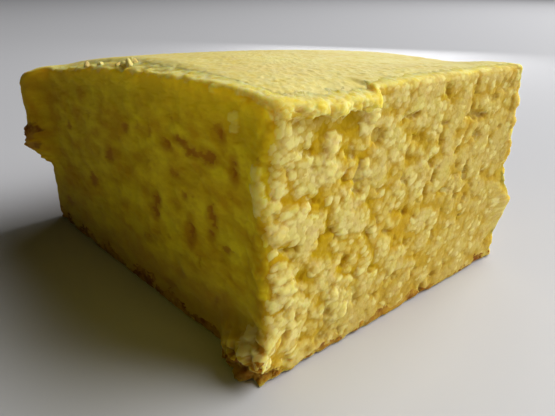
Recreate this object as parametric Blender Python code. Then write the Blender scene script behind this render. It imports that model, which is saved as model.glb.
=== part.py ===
"""Cornbread square: one piece cut from a pan, with three cut faces and one face baked against the pan.

The piece is a single solid. It starts as a lattice block and is shaped by functions: a low dome, rounded
edges, the slope of the pan wall, and the lumps and hollows of a crumb that was cut and partly torn.
Metres, +Z up. The origin is the centre of the base of the bounding box.
"""

import bmesh
import bpy
import numpy as np

MM = 0.001

# The piece as it was cut. X runs along the front face, Y from the front face to the pan side.
WIDTH = 75 * MM
LENGTH = 94 * MM
PEAK_HEIGHT = 50.2 * MM
PEAK_FROM_FRONT = 30 * MM
FRONT_FALL = 1.3 * MM  # how much lower the front edge is than the peak
PAN_FALL = 9.5 * MM  # how much lower the pan edge is
FRONT_EDGE_TILT = 1.0 * MM  # the fall along the front edge, from the near corner to the far one
INNER_TILT = 2.6 * MM  # the same fall, away from the front edge
TILT_BLEND = 20 * MM

# Edge radii.
CUT_RADIUS = 1.4 * MM
NEAR_EDGE_RADIUS = 4.5 * MM
PAN_TOP_RADIUS = 7.0 * MM
PAN_CORNER_RADIUS = 3.0 * MM

PAN_DRAFT = 0.115  # the pan wall leans out this much for each unit of height

# One cell of the lattice, and how uneven the faces are.
CELL = 2.4 * MM
UNEVENNESS = 0.55 * MM
HOLLOW_COUNT = 260
HOLLOW_RADII = (2.6 * MM, 4.6 * MM)
HOLLOW_DEPTH = 0.38  # as a share of the radius
SMOOTH_FACE_SHARE = 0.45  # the left face was cut cleanly, so its hollows are shallower
HOLLOW_SEED = 11

CRUMB_COLOUR = (0.72, 0.50, 0.11, 1.0)
CRUMB_ROUGHNESS = 0.85


def ramp(value, start, end):
    """0 before start, 1 after end, and a smooth step between them."""
    t = np.clip((value - start) / (end - start), 0.0, 1.0)
    return t * t * (3.0 - 2.0 * t)


def hump(value, centre, half_width):
    """1 at the centre, falling smoothly to 0 at half_width on either side."""
    return 1.0 - ramp(np.abs(value - centre), 0.0, half_width)


def plateau(value, start, end, soft):
    """1 between start and end, with a smooth step of width soft at both ends."""
    return ramp(value, start - soft, start) * (1.0 - ramp(value, end, end + soft))


def top_height(x, y):
    """Height of the domed top: a parabola on each side of the peak, tilted a little to the far side."""
    before = FRONT_FALL * ((PEAK_FROM_FRONT - y) / PEAK_FROM_FRONT) ** 2
    after = PAN_FALL * ((y - PEAK_FROM_FRONT) / (LENGTH - PEAK_FROM_FRONT)) ** 2
    tilt = FRONT_EDGE_TILT + INNER_TILT * ramp(y, 0.0, TILT_BLEND)
    return PEAK_HEIGHT - np.where(y < PEAK_FROM_FRONT, before, after) - tilt * (x / WIDTH) ** 2


def edge_radius(x, y, z_share):
    """The rounding radius by place: tight on cut edges, wide where the batter rose against the pan."""
    at_pan = ramp(y, LENGTH - 2 * PAN_TOP_RADIUS, LENGTH)
    near_edge = (1.0 - ramp(x, 0.0, 12 * MM)) * (1.0 - ramp(y, 0.0, 12 * MM))
    high = ramp(z_share, 0.55, 1.0)
    pan = (PAN_CORNER_RADIUS - CUT_RADIUS) + (PAN_TOP_RADIUS - PAN_CORNER_RADIUS) * high
    near = (NEAR_EDGE_RADIUS - CUT_RADIUS) * ramp(z_share, 0.1, 0.5)
    return CUT_RADIUS + at_pan * pan + near_edge * near


def rounded_block(shares):
    """Places lattice points, given as shares of the block, on the domed and rounded block.

    Each point is clamped to an inner box one radius smaller. What is left over is a vector from that box,
    and scaling it by its largest side over its length turns the square edge into a round one.
    Returns the points and their outward directions.
    """
    x = shares[:, 0] * WIDTH
    y = shares[:, 1] * LENGTH
    height = top_height(x, y)
    points = np.stack([x, y, shares[:, 2] * height], axis=1)
    radius = edge_radius(x, y, shares[:, 2])[:, None]
    high_corner = np.stack([np.full_like(x, WIDTH), np.full_like(x, LENGTH), height], axis=1)
    inner = np.clip(points, radius, high_corner - radius)
    over = points - inner
    length = np.linalg.norm(over, axis=1, keepdims=True)
    outward = over / length
    rounded = inner + outward * np.abs(over).max(axis=1, keepdims=True)
    return rounded, outward


def lean_against_pan(points):
    """The back face follows the pan wall, which leans outwards."""
    at_pan = ramp(points[:, 1], 0.55 * LENGTH, LENGTH)
    points[:, 1] += PAN_DRAFT * points[:, 2] * at_pan


def uneven(points):
    """Slow waves, in units of their own height, that keep the cut faces from being flat."""
    x, y, z = (points / MM).T
    return (
        0.5 * np.sin(x / 6.1 + z / 7.9 + 1.3) * np.sin(y / 7.3 - z / 9.7)
        + 0.3 * np.sin(z / 3.4 + x / 11.0 + 0.4) * np.sin(y / 3.9 + z / 6.1 + 2.0)
        + 0.2 * np.sin(x / 2.9 + 0.7) * np.sin(z / 2.7 - y / 3.1)
    )


def hollows(points, outward):
    """How deep the widest torn bubbles reach at each point, in metres."""
    draw = np.random.default_rng(HOLLOW_SEED)
    depth = np.zeros(len(points))
    for _ in range(HOLLOW_COUNT):
        centre = points[draw.integers(len(points))]
        radius = draw.uniform(*HOLLOW_RADII)
        away = np.linalg.norm(points - centre, axis=1) / radius
        depth = np.maximum(depth, radius * HOLLOW_DEPTH * (1.0 - ramp(away, 0.0, 1.0)))
    upright = 1.0 - ramp(np.abs(outward[:, 2]), 0.3, 0.8)
    smooth = 1.0 - (1.0 - SMOOTH_FACE_SHARE) * ramp(-outward[:, 0], 0.3, 0.8)
    return depth * upright * smooth


def torn_features(points):
    """Moves the places where the piece tore: lip, foot, crust flap and side bulge."""
    x, y, z = points.T.copy()
    top = top_height(x, y)

    # The top crust hangs over the front face as a lip, and ends in a step.
    lip = plateau(x, 2 * MM, 22.5 * MM, 1.5 * MM) * (1.0 - ramp(y, 0.5 * MM, 5 * MM))
    lip = lip * ramp(z, top - 4.5 * MM, top - 1.5 * MM)
    points[:, 1] -= 1.7 * MM * lip
    points[:, 2] -= 1.3 * MM * lip * (0.4 + 0.6 * ramp(x, 0.0, 20 * MM))

    # The near corner spreads to a crumbly foot.
    foot = (1.0 - ramp(x, 0.0, 9 * MM)) * (1.0 - ramp(y, 8 * MM, 15 * MM)) * (1.0 - ramp(z, 4 * MM, 12 * MM))
    points[:, 0] -= 3.6 * MM * foot

    # A flap of the crust that baked against the pan sticks out past the left face.
    flap = (1.0 - ramp(x, 0.0, 5 * MM)) * ramp(y, LENGTH - 5 * MM, LENGTH) * hump(z, 25 * MM, 8.5 * MM)
    points[:, 0] -= 5.4 * MM * flap

    # The lower half of the right face bulges beside the front edge.
    bulge = ramp(x, WIDTH - 6 * MM, WIDTH) * (1.0 - ramp(y, 3 * MM, 16 * MM)) * hump(z, 14 * MM, 9 * MM)
    points[:, 0] += 4.6 * MM * bulge


def shape(shares):
    """All the shaping steps, from lattice shares to places in metres, with the near corner at x = y = 0."""
    points, outward = rounded_block(shares)
    lean_against_pan(points)
    on_base = shares[:, 2] <= 0.0
    relief = UNEVENNESS * uneven(points) * (1.0 - 0.6 * np.abs(outward[:, 2])) - hollows(points, outward)
    relief[on_base] = 0.0
    points += outward * relief[:, None]
    torn_features(points)
    points[on_base, 2] = 0.0
    return points


def recentre(points):
    """Moves the points so that the base centre of their bounding box is the origin."""
    low, high = points.min(axis=0), points.max(axis=0)
    points -= np.array([(low[0] + high[0]) / 2, (low[1] + high[1]) / 2, low[2]])


def lattice_block(name):
    """A closed block of square cells, one unit each way: two grids joined by an extruded wall."""
    columns, rows, layers = (round(size / CELL) for size in (WIDTH, LENGTH, PEAK_HEIGHT))
    block = bmesh.new()
    bmesh.ops.create_grid(block, x_segments=columns, y_segments=rows, size=0.5)
    rim = [edge for edge in block.edges if edge.is_boundary]
    for _ in range(layers):
        wall = bmesh.ops.extrude_edge_only(block, edges=rim)["geom"]
        raised = [item for item in wall if isinstance(item, bmesh.types.BMVert)]
        rim = [item for item in wall if isinstance(item, bmesh.types.BMEdge) and item.is_boundary]
        bmesh.ops.translate(block, verts=raised, vec=(0.0, 0.0, 1.0 / layers))
    lid = bmesh.ops.create_grid(block, x_segments=columns, y_segments=rows, size=0.5)["verts"]
    bmesh.ops.translate(block, verts=lid, vec=(0.0, 0.0, 1.0))
    bmesh.ops.remove_doubles(block, verts=block.verts, dist=1e-4)
    bmesh.ops.translate(block, verts=block.verts, vec=(0.5, 0.5, 0.0))
    bmesh.ops.recalc_face_normals(block, faces=block.faces)
    mesh = bpy.data.meshes.new(name)
    block.to_mesh(mesh)
    block.free()
    return mesh


def crumb_material():
    material = bpy.data.materials.new("crumb")
    material.use_nodes = True
    surface = material.node_tree.nodes["Principled BSDF"]
    surface.inputs["Base Color"].default_value = CRUMB_COLOUR
    surface.inputs["Roughness"].default_value = CRUMB_ROUGHNESS
    surface.inputs["Metallic"].default_value = 0.0
    return material


def build_cornbread():
    mesh = lattice_block("cornbread")
    shares = np.empty(len(mesh.vertices) * 3)
    mesh.vertices.foreach_get("co", shares)
    points = shape(np.clip(shares.reshape(-1, 3), 0.0, 1.0))
    recentre(points)
    mesh.vertices.foreach_set("co", points.ravel())
    mesh.shade_smooth()
    mesh.materials.append(crumb_material())
    cornbread = bpy.data.objects.new("cornbread", mesh)
    bpy.context.scene.collection.objects.link(cornbread)


for old in list(bpy.data.objects):
    bpy.data.objects.remove(old)
build_cornbread()
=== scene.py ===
# %% [markdown]
# # A square of cornbread
# The piece was cut from a pan. It has three cut faces of open crumb, one face that baked against the sloping
# wall of the pan, a pale domed top crust and a thin brown bottom crust.
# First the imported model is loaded. It is the fixed frame: its box says where every piece goes.

import bpy
import numpy as np
from mathutils import Matrix, Vector


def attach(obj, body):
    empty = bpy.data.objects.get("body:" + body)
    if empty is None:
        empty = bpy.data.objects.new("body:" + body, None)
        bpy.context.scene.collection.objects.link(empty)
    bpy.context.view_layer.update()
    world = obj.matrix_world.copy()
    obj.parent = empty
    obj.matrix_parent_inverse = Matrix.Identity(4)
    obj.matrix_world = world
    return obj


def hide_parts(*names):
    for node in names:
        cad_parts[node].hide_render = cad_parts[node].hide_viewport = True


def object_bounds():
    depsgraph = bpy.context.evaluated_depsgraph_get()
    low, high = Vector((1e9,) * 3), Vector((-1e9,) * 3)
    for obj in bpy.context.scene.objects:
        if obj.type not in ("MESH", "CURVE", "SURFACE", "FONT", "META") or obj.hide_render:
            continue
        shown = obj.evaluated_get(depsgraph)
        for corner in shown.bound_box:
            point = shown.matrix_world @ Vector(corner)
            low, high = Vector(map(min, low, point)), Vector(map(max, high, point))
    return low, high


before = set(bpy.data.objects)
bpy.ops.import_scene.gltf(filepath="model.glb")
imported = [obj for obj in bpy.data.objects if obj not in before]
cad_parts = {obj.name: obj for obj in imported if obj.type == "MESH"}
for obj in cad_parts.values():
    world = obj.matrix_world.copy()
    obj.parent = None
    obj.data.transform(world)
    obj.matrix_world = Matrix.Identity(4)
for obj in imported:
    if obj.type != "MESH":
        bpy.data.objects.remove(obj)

cad_low, cad_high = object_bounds()
print("frame box in mm:", [round(value * 1000, 1) for value in (*cad_low, *cad_high)])

# %% [markdown]
# All shaping is done in millimetres from the near bottom corner of the block, with x along the front face and
# y towards the pan side, because a baker would measure the piece that way. The last step turns the numbers
# into metres in the frame. The flap of pan crust and the lip of top crust reach past that corner, so the
# corner lies a little inside the box.

# %% Sizes of the block
WIDTH, LENGTH = 75.0, 94.0
PEAK_HEIGHT, PEAK_FROM_FRONT = 50.2, 30.0
FRONT_FALL, PAN_FALL = 1.3, 9.5
FRONT_EDGE_TILT, INNER_TILT, TILT_BLEND = 1.0, 2.6, 20.0
CUT_RADIUS, NEAR_EDGE_RADIUS, PAN_TOP_RADIUS, PAN_CORNER_RADIUS = 0.9, 4.0, 7.0, 3.0
PAN_DRAFT = 0.115
FLAP_REACH, LIP_REACH = 5.22, 1.62

near_corner = np.array([cad_low.x * 1000 + FLAP_REACH, cad_low.y * 1000 + LIP_REACH, cad_low.z * 1000])


def in_frame(points):
    """Millimetres from the near corner to metres in the frame."""
    return (points + near_corner) / 1000.0


print("near corner in the frame, mm:", near_corner.round(2))

# %% [markdown]
# A few small functions do most of the shaping: a smooth step, a bump, and a flat-topped bump.

# %% Smooth steps
def ramp(value, start, end):
    """0 before start and 1 after end. Between them t runs from 0 to 1 and the value is 3t^2 - 2t^3."""
    t = np.clip((value - start) / (end - start), 0.0, 1.0)
    return t * t * (3.0 - 2.0 * t)


def hump(value, centre, half_width):
    """1 at the centre, falling by a smooth step to 0 at half_width on either side."""
    return 1.0 - ramp(np.abs(value - centre), 0.0, half_width)


def plateau(value, start, end, soft):
    """1 between start and end, with a smooth step of width soft at both ends."""
    return ramp(value, start - soft, start) * (1.0 - ramp(value, end, end + soft))


print("half way up a step:", float(ramp(0.5, 0, 1)))

# %% [markdown]
# Crumb is uneven at every size. A mesh could be roughened with Blender's Displace modifier, but numbers worked
# out here can also steer the colour later. So the noise is worked out on whole arrays: a hash gives each
# lattice place a fixed random value, a smooth blend of those values gives soft noise, and the distances to the
# two nearest jittered places give grains with creases between them.

# %% Noise and grains
def hashed(x, y, z, seed):
    """A fixed random value from 0 to 1 for each whole-number place: large odd multiples, mixed by shifts."""
    mixed = (x * 374761393 + y * 668265263 + z * 1274126177 + seed * 974711) & 0xFFFFFFFF
    mixed = ((mixed ^ (mixed >> 13)) * 1274126177) & 0xFFFFFFFF
    mixed = ((mixed ^ (mixed >> 16)) * 1103515245) & 0xFFFFFFFF
    return ((mixed ^ (mixed >> 15)) & 0xFFFFFF) / float(0x1000000)


def soft_noise(points, size, seed):
    """Noise from -1 to 1: hashed values at the eight corners of a cell, blended by 3t^2 - 2t^3 on each axis."""
    scaled = points / size
    cell = np.floor(scaled).astype(np.int64)
    share = scaled - cell
    share = share * share * (3.0 - 2.0 * share)
    total = np.zeros(len(points))
    for corner in np.ndindex(2, 2, 2):
        weight = np.prod(np.where(corner, share, 1.0 - share), axis=1)
        total += weight * hashed(*(cell + corner).T, seed)
    return 2.0 * total - 1.0


def layered_noise(points, size, seed, layers=3):
    """Soft noise plus finer copies of itself, each half the size and half the strength."""
    return sum(soft_noise(points, size / 2**k, seed + 17 * k) / 2**k for k in range(layers)) / 1.6


def push(points, size, seed):
    """Three soft noises as a vector, to bend places before something is drawn on them."""
    return np.stack([soft_noise(points, size, seed + k) for k in range(3)], axis=1)


def grains(points, size, seed):
    """Rounded grains of about this size: one centre in each cell, jittered by the hash.

    With a and b the distances to the nearest and the second nearest centre over the size, and t = b - a cut
    off at 0.45 and divided by it, the height is 1 - (1 - t)^2: 0 in the creases, 1 on a flat-topped grain.
    Returns the height and a random value that belongs to the grain.
    """
    scaled = points / size
    cell = np.floor(scaled).astype(np.int64)
    nearest = np.full(len(points), 9.0)
    second = np.full(len(points), 9.0)
    own = np.zeros(len(points))
    for step in np.ndindex(3, 3, 3):
        place = (cell + step - 1).T
        centre = np.stack([place[k] + hashed(*place, seed + k) for k in range(3)], axis=1)
        square = ((scaled - centre) ** 2).sum(axis=1)
        closer = square < nearest
        second = np.where(closer, nearest, np.minimum(second, square))
        own = np.where(closer, hashed(*place, seed + 3), own)
        nearest = np.minimum(nearest, square)
    t = np.clip((np.sqrt(second) - np.sqrt(nearest)) / 0.45, 0.0, 1.0)
    return 1.0 - (1.0 - t) ** 2, own


print("noise at three places:", soft_noise(np.array([[0.2, 0, 0], [5.5, 1, 2], [9.1, 3, 8]]), 2.0, 1).round(2))

# %% [markdown]
# The block itself is one function. A point is given as shares of the block, 0 to 1 along each side, and the
# function puts it on the domed, rounded block and says which way is outwards. The crumb and both crusts use
# the same function, so they fit each other without any fitting.

# %% The block
def top_height(x, y):
    """Height of the domed top: a parabola on each side of the peak, tilted a little to the far side."""
    before = FRONT_FALL * ((PEAK_FROM_FRONT - y) / PEAK_FROM_FRONT) ** 2
    after = PAN_FALL * ((y - PEAK_FROM_FRONT) / (LENGTH - PEAK_FROM_FRONT)) ** 2
    tilt = FRONT_EDGE_TILT + INNER_TILT * ramp(y, 0.0, TILT_BLEND)
    return PEAK_HEIGHT - np.where(y < PEAK_FROM_FRONT, before, after) - tilt * (x / WIDTH) ** 2


def edge_radius(x, y, z_share):
    """The rounding radius by place: tight on cut edges, wide where the batter rose against the pan."""
    at_pan = ramp(y, LENGTH - 2 * PAN_TOP_RADIUS, LENGTH)
    near_edge = (1.0 - ramp(x, 0.0, 12.0)) * (1.0 - ramp(y, 0.0, 12.0))
    high = ramp(z_share, 0.55, 1.0)
    pan = (PAN_CORNER_RADIUS - CUT_RADIUS) + (PAN_TOP_RADIUS - PAN_CORNER_RADIUS) * high * ramp(x, 4.0, 18.0)
    near = (NEAR_EDGE_RADIUS - CUT_RADIUS) * (0.3 + 0.7 * ramp(z_share, 0.6, 0.85)) * ramp(z_share, 0.0, 0.3)
    near *= 1.0 - 0.4 * ramp(z_share, 0.92, 1.0)
    return CUT_RADIUS + at_pan * pan + near_edge * near


def block_surface(shares):
    """Shares of the block to points in millimetres, with their outward directions.

    A point is clamped to an inner box one radius smaller. What is left over is a vector from that box, and
    scaling it by its largest side over its length turns the square edge into a round one.
    """
    x, y = shares[:, 0] * WIDTH, shares[:, 1] * LENGTH
    height = top_height(x, y)
    points = np.stack([x, y, shares[:, 2] * height], axis=1)
    radius = edge_radius(x, y, shares[:, 2])[:, None]
    high_corner = np.stack([np.full_like(x, WIDTH), np.full_like(x, LENGTH), height], axis=1)
    inner = np.clip(points, radius, high_corner - radius)
    over = points - inner
    outward = over / np.maximum(np.linalg.norm(over, axis=1, keepdims=True), 1e-9)
    points = inner + outward * np.abs(over).max(axis=1, keepdims=True)
    points[:, 1] += PAN_DRAFT * points[:, 2] * ramp(points[:, 1], 0.55 * LENGTH, LENGTH)
    return points, outward


print("height at the near corner, the peak and the pan edge:",
      [round(float(top_height(x, y)), 1) for x, y in ((0, 0), (0, PEAK_FROM_FRONT), (40, LENGTH))])

# %% [markdown]
# Some places tore or wore away when the piece was cut and lifted. The top crust hangs over the front as a lip.
# The near corner spreads to a crumbly foot and ends blunt at the base. A wide shoulder with a ragged bit of pan
# crust sticks out at the far left, the right side bulges, and the left margin of the top is worn down. All this
# could be pulled out by hand in sculpt mode, but as sums of smooth steps it is exact and moves every piece alike.

# %% Torn places
BULGE_OUT, FOOT_OUT, FLAP_OUT, EDGE_OUT, BLUNT_IN = 4.6, 3.6, 5.4, 1.1, 1.3
LIP_AHEAD, FOOT_AHEAD, LIP_DROP, FLAP_DROP, WORN_DROP = 1.5, 1.3, 1.1, 2.0, 1.7


def torn(points):
    """Moves points for the torn places, each a product of smooth steps times a distance in mm."""
    x, y, z = points.T.copy()
    top = top_height(x, y)
    at_left = 1.0 - ramp(x, 0.0, 7.0)
    ragged = 1.1 * layered_noise(points, 1.5, 25, 2)
    lip = ramp(x, 0.0, 8.0) * (1.0 - ramp(x, 22.2, 23.4)) * (1.0 - ramp(y, 0.5, 8.0))
    lip *= ramp(z + ragged, top - 3.2, top - 2.0)
    foot = (1.0 - ramp(x, 0.0, 9.0)) * (1.0 - ramp(y, 8.0, 15.0)) * (1.0 - ramp(z, 4.5, 10.5))
    foot *= 1.0 + 0.6 * layered_noise(points, 1.8, 29, 3)
    blunt = (1.0 - ramp(np.hypot(x, y), 0.0, 6.0)) * (1.0 - ramp(z, 0.0, 9.0))
    edge = (1.0 - ramp(x, 0.0, 5.0)) * (1.0 - ramp(y, 1.0, 7.0)) * plateau(z, 12.0, 40.0, 6.0)
    flap = at_left * ramp(y, LENGTH - 7.0, LENGTH - 1.0)
    flap *= 0.85 * ramp(z + 2.0 * ragged, 15.0, 23.0) + 0.30 * hump(z, 24.5, 4.5) * (1.0 + ragged)
    worn = at_left * ramp(y, 8.0, 40.0) * (1.0 - ramp(y, LENGTH - 14.0, LENGTH - 4.0))
    worn *= ramp(z, top - 7.0, top) * (1.0 + 0.5 * ragged)
    bulge = ramp(x, WIDTH - 6.0, WIDTH) * (1.0 - ramp(y, 3.0, 16.0)) * hump(z, 14.0, 9.0)
    moved = points + BLUNT_IN * blunt[:, None] * [1.0, 1.0, 0.0]
    moved[:, 0] += BULGE_OUT * bulge - FOOT_OUT * foot - FLAP_OUT * flap - EDGE_OUT * edge
    moved[:, 1] -= LIP_AHEAD * lip + FOOT_AHEAD * foot * (1.0 - ramp(y, 0.0, 6.0))
    moved[:, 2] -= LIP_DROP * lip * (0.4 + 0.6 * ramp(x, 0.0, 20.0)) + WORN_DROP * worn
    moved[:, 2] -= FLAP_DROP * flap * ramp(y, LENGTH - 4.0, LENGTH - 2.0) * ramp(z, 40.0, 47.0)
    return moved


print("the foot reaches", torn(np.array([[0.0, 3.0, 2.0]]))[0, 0].round(2), "mm past the left face")

# %% [markdown]
# Torn crumb is not a smooth foam. It is built of granules about a millimetre wide that hang together in clumps
# of two or three millimetres, and where a clump broke away the next ones lie deeper. So each granule gets one
# level for all of itself, and the wall shows the highest granule at each place. The outlines of clumps and
# holes then run round whole granules, as they do in the real thing.

# %% Granules on a wall
def granules(along, up, size, seed, shape, level_of):
    """The highest granule at each place of a wall that is unrolled flat, in mm.

    Each cell of a lattice holds one granule with a jittered centre, a turn, a stretch and a tilt. With d the
    stretched distance from its centre over its radius, its height is level + bulge * sqrt(1 - d^3) + tilt, and
    outside it falls by 1.6 radii for each d. shape is (bulge in mm, steepest tilt). level_of gives the level at
    the centres and any other values the granules carry. Returns the height and the values of the highest one.
    """
    column, row = np.floor(along / size).astype(np.int64), np.floor(up / size).astype(np.int64)
    first_column, first_row = column.min() - 1, row.min() - 1
    i, j = np.meshgrid(np.arange(first_column, column.max() + 2), np.arange(first_row, row.max() + 2), indexing="ij")
    chance = [hashed(i, j, np.zeros_like(i), seed + k) for k in range(8)]
    centre_along, centre_up = (i + chance[0]) * size, (j + chance[1]) * size
    radius = size * (0.60 + 0.22 * chance[2])
    cosine, sine = np.cos(6.283 * chance[3]), np.sin(6.283 * chance[3])
    stretch = 0.82 + 0.38 * chance[4]
    slope_along, slope_up = shape[1] * (2.0 * chance[6] - 1.0), shape[1] * (2.0 * chance[7] - 1.0)
    level, *others = level_of(centre_along.ravel(), centre_up.ravel(), chance[5].ravel())
    level = level.reshape(i.shape)
    best = np.full(along.shape, -99.0)
    winner = np.zeros(along.shape, dtype=np.int64)
    for step in np.ndindex(3, 3):
        cell = (column + step[0] - 1 - first_column, row + step[1] - 1 - first_row)
        across, above = along - centre_along[cell], up - centre_up[cell]
        wide = np.abs(across * cosine[cell] + above * sine[cell]) / stretch[cell]
        tall = np.abs(above * cosine[cell] - across * sine[cell]) * stretch[cell]
        d = (wide**3 + tall**3) ** (1 / 3) / radius[cell]
        height = level[cell] + shape[0] * np.sqrt(np.clip(1.0 - d**3, 0.0, None))
        height += slope_along[cell] * across + slope_up[cell] * above
        height -= 1.6 * radius[cell] * np.clip(d - 1.0, 0.0, None)
        higher = height > best
        best = np.where(higher, height, best)
        winner = np.where(higher, cell[0] * i.shape[1] + cell[1], winner)
    return best, [other[winner] for other in others]


print("four places on a row of granules:",
      granules(np.arange(4.0), np.zeros(4), 1.0, 1, (0.1, 0.0), lambda across, above, own: (own, own))[0].round(2))

# %% [markdown]
# The top crust baked nearly smooth, so it needs only a light unevenness. It is worked out in space and not on
# an unrolled wall, so the sheet and the crumb below it get the same waves.

# %% A light unevenness
def uneven(points):
    """Height in mm: slow waves plus two sizes of rounded grains."""
    coarse, coarse_own = grains(points + 0.4 * push(points, 1.4, 361), 1.9, 93)
    fine, fine_own = grains(points + 0.3 * push(points, 0.9, 371), 1.0, 96)
    return 0.4 * layered_noise(points, 10.0, 91, 3) + 0.25 * coarse * coarse_own + 0.15 * fine * fine_own


def coarseness(points):
    """Strength of the unevenness on the top: the meal lies bare towards the torn front edge."""
    return 0.7 - 0.35 * ramp(points[:, 1], 4.0, 20.0)


print("unevenness in the middle of the top, mm:", uneven(np.array([[37.0, 47.0, 49.0]])).round(2))

# %% [markdown]
# Each big piece is a stack of closed rings from one pole to the other, like a lofted vase. Blender could skin
# it with a bridge tool, but a grid of rings gives every face a known place, so its map for baked colour can be
# laid out with one strip for each side.

# %% Rings to a closed mesh
def ring_faces(rows, columns):
    """Quads between neighbouring rings, and triangles from the first and last ring to the two poles."""
    index = np.arange(rows * columns).reshape(rows, columns)
    after = np.roll(index, -1, axis=1)
    quads = np.stack([index[:-1], after[:-1], after[1:], index[1:]], axis=-1).reshape(-1, 4)
    low = np.stack([np.full(columns, rows * columns), after[0], index[0]], axis=-1)
    high = np.stack([np.full(columns, rows * columns + 1), index[-1], after[-1]], axis=-1)
    return quads, low, high


def new_mesh(name, points, faces):
    """A smooth mesh object from points in metres and a list of face arrays."""
    mesh = bpy.data.meshes.new(name)
    corners = np.concatenate([part.ravel() for part in faces]).astype(np.int32)
    sizes = np.concatenate([np.full(len(part), part.shape[1]) for part in faces])
    mesh.vertices.add(len(points))
    mesh.vertices.foreach_set("co", points.astype(np.float32).ravel())
    mesh.loops.add(len(corners))
    mesh.loops.foreach_set("vertex_index", corners)
    mesh.polygons.add(len(sizes))
    mesh.polygons.foreach_set("loop_start", np.concatenate([[0], np.cumsum(sizes)[:-1]]).astype(np.int32))
    mesh.update(calc_edges=True)
    mesh.validate()
    mesh.shade_smooth()
    piece = bpy.data.objects.new(name, mesh)
    bpy.context.scene.collection.objects.link(piece)
    print(name, "triangles:", int((sizes - 2).sum()))
    return piece


def store(piece, name, values):
    """Keeps one value per point as an attribute that a material can read."""
    layer = piece.data.attributes.new(name, "FLOAT", "POINT")
    layer.data.foreach_set("value", np.asarray(values, np.float32))


def stack_rings(name, rings, low_pole, high_pole, strips, strip, place):
    """A closed mesh from rings of shape (rows, columns, 3), with its map for baked colour.

    Each column belongs to a strip, a row of the table strips with its low and high v, and has a place from
    0 to 1 along it, which is u. The rows share the height of the strip evenly.
    """
    rows, columns = rings.shape[:2]
    points = in_frame(np.concatenate([rings.reshape(-1, 3), [low_pole, high_pole]]))
    quads, low, high = ring_faces(rows, columns)
    piece = new_mesh(name, points, (quads, low, high))
    last = np.append(np.diff(strip) != 0, True)
    u0 = place
    u1 = np.where(last, 0.995, np.append(place[1:], 0.995))
    low_v, high_v = strips[strip, 0], strips[strip, 1]
    v = low_v + (high_v - low_v) * (0.03 + 0.94 * np.linspace(0.0, 1.0, rows))[:, None]
    u_quad = np.broadcast_to(np.stack([u0, u1, u1, u0], axis=-1), (rows - 1, columns, 4))
    v_quad = np.stack([v[:-1], v[:-1], v[1:], v[1:]], axis=-1)
    middle = (u0 + u1) / 2
    u_low, v_low = np.stack([middle, u1, u0], -1), np.stack([low_v, v[0], v[0]], -1)
    u_high, v_high = np.stack([middle, u0, u1], -1), np.stack([high_v, v[-1], v[-1]], -1)
    uv = np.concatenate([np.stack(pair, axis=-1).reshape(-1, 2)
                         for pair in ((u_quad, v_quad), (u_low, v_low), (u_high, v_high))])
    piece.data.uv_layers.new(name="OFBake").uv.foreach_set("vector", uv.astype(np.float32).ravel())
    return piece


print("faces of three rings of four points:", sum(len(part) for part in ring_faces(3, 4)))

# %% [markdown]
# ## Crumb
# The crumb is made as two prisms that meet inside: a near one with the front and left faces, and a far one
# with the right face and the pan side. A single ring would spread its detail over all four sides, and two
# prisms let the near faces have granules a few points wide. Distance along a prism is measured from its middle
# edge: below 0 on one face, above 0 on the other. The last rows curl over the top edge and end under the crust.

# %% Columns and rows of a prism
WALL_ROWS = 223
top_inset = np.array([0.25, 0.5, 0.75, 1.0, 1.25, 1.5, 1.8, 2.1, 2.4, 2.8, 3.3, 4.0, 5.0, 6.0])
row_share = np.concatenate([np.linspace(0.004, 1.0, WALL_ROWS), np.ones(len(top_inset))])
row_inset = np.concatenate([np.zeros(WALL_ROWS), top_inset])


def spread(length, near_spacing, far_spacing):
    """Distances from 0 to length whose spacing grows evenly from the near to the far value."""
    count = round(2.0 * length / (near_spacing + far_spacing))
    t = np.linspace(0.0, 1.0, count + 1)
    growth = far_spacing - near_spacing
    return length * (near_spacing * t + growth * t * t / 2) / (near_spacing + growth / 2)


def prism_columns(spacings):
    """Signed distances from the middle edge for the two faces: -LENGTH to 0 and 0 to WIDTH."""
    left = -spread(LENGTH, *spacings[0])[::-1]
    return np.concatenate([left, spread(WIDTH, *spacings[1])[1:]])


NEAR, FAR = 0, 1
columns_of = {NEAR: prism_columns(((0.26, 1.05), (0.165, 0.42))), FAR: prism_columns(((0.6, 0.6), (0.6, 0.6)))}
print("columns:", {key: len(value) for key, value in columns_of.items()})


def shares_at(side, distance):
    """Shares of the block for distances along a prism and all rows, drawn in by the inset on the top.

    The far prism is the near one turned half round.
    """
    x, y = np.maximum(distance, 0.0) / WIDTH, np.maximum(-distance, 0.0) / LENGTH
    if side == FAR:
        x, y = 1.0 - x, 1.0 - y
    drawn = 1.0 - 2.0 * row_inset[:, None] / WIDTH
    height = np.broadcast_to(row_share[:, None], (len(row_share), len(distance)))
    return np.stack([(0.5 + (x - 0.5) * drawn).ravel(), (0.5 + (y - 0.5) * drawn).ravel(), height.ravel()], axis=1)


# %% [markdown]
# The widest holes and the raised flakes of the two near faces were placed one by one. Each row is distance
# from the near edge, height, half width, half height and depth or rise in mm. On the left face the distance is
# negative.

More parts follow.
